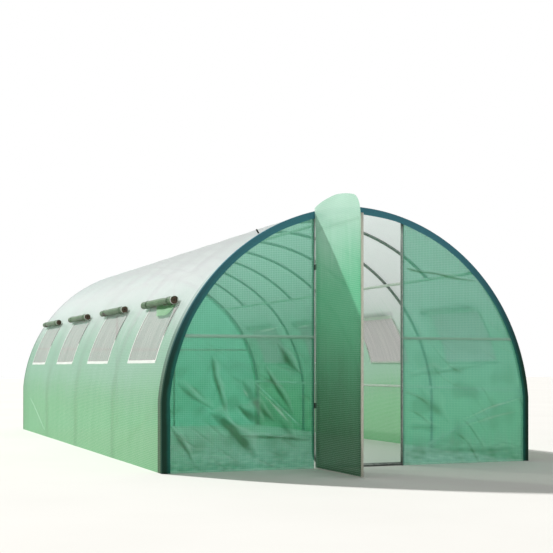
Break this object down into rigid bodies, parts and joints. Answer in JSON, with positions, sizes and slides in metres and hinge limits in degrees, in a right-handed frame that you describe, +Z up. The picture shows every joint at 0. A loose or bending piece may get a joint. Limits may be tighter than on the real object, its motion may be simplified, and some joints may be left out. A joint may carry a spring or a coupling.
{
  "type": "polytunnel greenhouse",
  "caption": "Walk-in polytunnel greenhouse with arched steel hoops, translucent green sheet cover, mesh side windows with rolled flaps and a side-hung door leaf standing open.",
  "frame": {"origin": "middle of the footprint on the ground, with the open door leaf counted in", "axes": "+X across the tunnel to the right as seen from the door, +Y along the tunnel from the door to the closed rear end, +Z up"},
  "size_m": [3, 6.7968, 1.95],
  "materials": {
    "tube": "galvanised tube, dull with soft streaks",
    "leaf_tube": "pale beige coated tube, satin",
    "cover": "translucent pale green woven polyethylene sheet, slightly glossy",
    "end_sheet": "translucent green sheet with a fine reinforcing grid",
    "leaf_sheet": "translucent green sheet with a fine reinforcing grid",
    "hem_band": "dark petrol green woven band, matt",
    "window_mesh": "fine grey insect mesh",
    "rolled_flap": "rolled green sheet, soft folds",
    "hinge_steel": "black coated steel strap"
  },
  "bodies": {
    "tunnel": {"cover_roof_left": "cover", "cover_roof_right": "cover", "cover_shoulder_left": "cover", "cover_shoulder_right": "cover", "cover_wall_left": "cover", "cover_wall_right": "cover", "cover_windows_left": "cover", "cover_windows_right": "cover", "door_jamb_left": "tube", "door_jamb_right": "tube", "front_band": "hem_band", "front_brace_left": "tube", "front_brace_right": "tube", "front_panel_left": "end_sheet", "front_panel_right": "end_sheet", "front_rail_left": "tube", "front_rail_right": "tube", "hinge_lugs": "hinge_steel", "hoop_1": "tube", "hoop_2": "tube", "hoop_3": "tube", "hoop_4": "tube", "hoop_5": "tube", "rear_band": "hem_band", "rear_brace_left": "tube", "rear_brace_right": "tube", "rear_panel": "end_sheet", "rear_post_left": "tube", "rear_post_right": "tube", "rear_rail": "tube", "ridge_purlin": "tube", "roof_bow_1": "tube", "roof_bow_2": "tube", "roof_bow_3": "tube", "roof_bow_4": "tube", "shoulder_purlin_left": "tube", "shoulder_purlin_right": "tube", "side_purlin_left": "tube", "side_purlin_right": "tube", "window_rolls_left": "rolled_flap", "window_rolls_right": "rolled_flap", "window_screens_left": "window_mesh", "window_screens_right": "window_mesh"},
    "leaf": {"leaf_bottom_rail": "leaf_tube", "leaf_free_stile": "leaf_tube", "leaf_hinge_stile": "leaf_tube", "leaf_sheet": "leaf_sheet", "leaf_top_rail": "leaf_tube"}
  },
  "joints": [
    {"name": "door_hinge", "type": "hinge", "parent": "tunnel", "child": "leaf", "pos_m": [-0.331, -2.65835, 0], "axis": [0, 0, 1], "range_deg": [-80, 90]}
  ]
}
